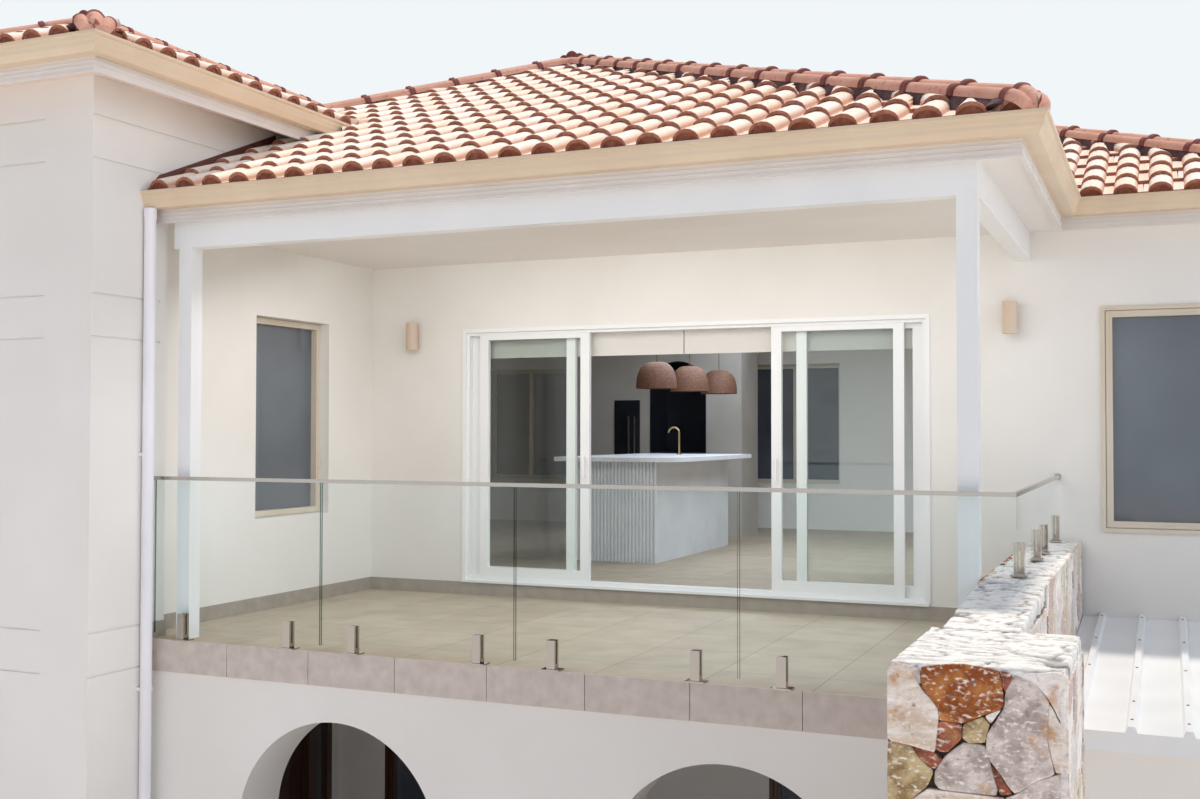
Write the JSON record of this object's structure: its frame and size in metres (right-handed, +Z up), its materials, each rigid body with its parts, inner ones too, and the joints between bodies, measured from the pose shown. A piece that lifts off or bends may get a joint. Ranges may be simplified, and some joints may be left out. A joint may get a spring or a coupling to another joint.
{
  "type": "beach house",
  "caption": "Two-storey rendered beach house with tiled hip roofs, arched porch, glazed balcony, sliding door and rubble stone wall.",
  "frame": {"origin": "on the ground, under the middle of the walled footprint", "axes": "+X to the right along the front, +Y into the house from the balcony, +Z up"},
  "size_m": [11.736, 12.083, 7.6427],
  "materials": {
    "paved_floor": "honed",
    "wall_render": "painted render",
    "entry_timber": "varnished",
    "door_metal": "satin",
    "porch_joinery": "varnished",
    "indoor_floor": "honed",
    "deck_tile": "matt",
    "edge_tile": "matt",
    "skirting_tile": "matt",
    "rubble_stone": "split face",
    "door_frame": "powder coated",
    "door_glass": "clear",
    "blind_fabric": "coated",
    "window_frame": "powder coated",
    "window_glass": "reflective",
    "lamp_metal": "satin",
    "rail_glass": "toughened clear",
    "spigot_chrome": "polished",
    "rail_steel": "polished",
    "post_paint": "gloss",
    "ceiling_board": "painted plasterboard",
    "fascia_metal": "satin",
    "gutter_metal": "satin",
    "pipe_plastic": "painted",
    "roof_tile": "weathered terracotta",
    "cap_tile": "weathered terracotta",
    "flashing_metal": "matt",
    "sheet_metal": "satin",
    "kitchen_paint": "painted",
    "dark_lacquer": "lacquered",
    "kitchen_bench": "honed",
    "tap_brass": "brushed",
    "pendant_weave": "woven cane"
  },
  "bodies": {
    "house": {"ground_floor": "paved_floor", "arcade_wall": "wall_render", "porch_back_wall": "wall_render", "porch_side_walls": "wall_render", "entry_frame": "entry_timber", "porch_windows": "porch_joinery", "wing_side_wall": "wall_render", "wing_front_wall": "wall_render", "left_wall": "wall_render", "rear_wall": "wall_render", "right_wall": "wall_render", "low_walls": "wall_render", "upper_floor": "indoor_floor", "balcony_slab": "deck_tile", "edge_tiles": "edge_tile", "skirting_tiles": "skirting_tile", "stone_wall": "rubble_stone", "back_wall": "wall_render", "sliding_door_frame": "door_frame", "sliding_door_panels": "door_frame", "sliding_door_glass": "door_glass", "door_blinds": "blind_fabric", "window_frames": "window_frame", "window_glass": "window_glass", "wall_lights": "lamp_metal", "balustrade_glass": "rail_glass", "glass_spigots": "spigot_chrome", "handrail": "rail_steel", "balcony_posts": "post_paint", "eaves_beams": "post_paint", "balcony_ceiling": "ceiling_board", "house_ceiling": "ceiling_board", "wing_soffit": "ceiling_board", "fascias": "fascia_metal", "gutters": "gutter_metal", "downpipe": "pipe_plastic", "main_roof": "roof_tile", "wing_roof": "roof_tile", "main_hip_caps": "cap_tile", "wing_hip_caps": "cap_tile", "roof_flashing": "flashing_metal", "metal_roof": "sheet_metal", "kitchen_wall": "kitchen_paint", "kitchen_tower": "dark_lacquer", "kitchen_island": "kitchen_bench", "kitchen_tap": "tap_brass", "pendant_lamps": "pendant_weave"},
    "entry_door": {"entry_door_leaf": "entry_timber", "entry_door_handle": "door_metal"}
  },
  "joints": [
    {"name": "entry_door_hinge", "type": "hinge", "parent": "house", "child": "entry_door", "pos_m": [-1.37, -3.7765, 1.1], "axis": [0, 0, 1], "range_deg": [0, 90]}
  ]
}
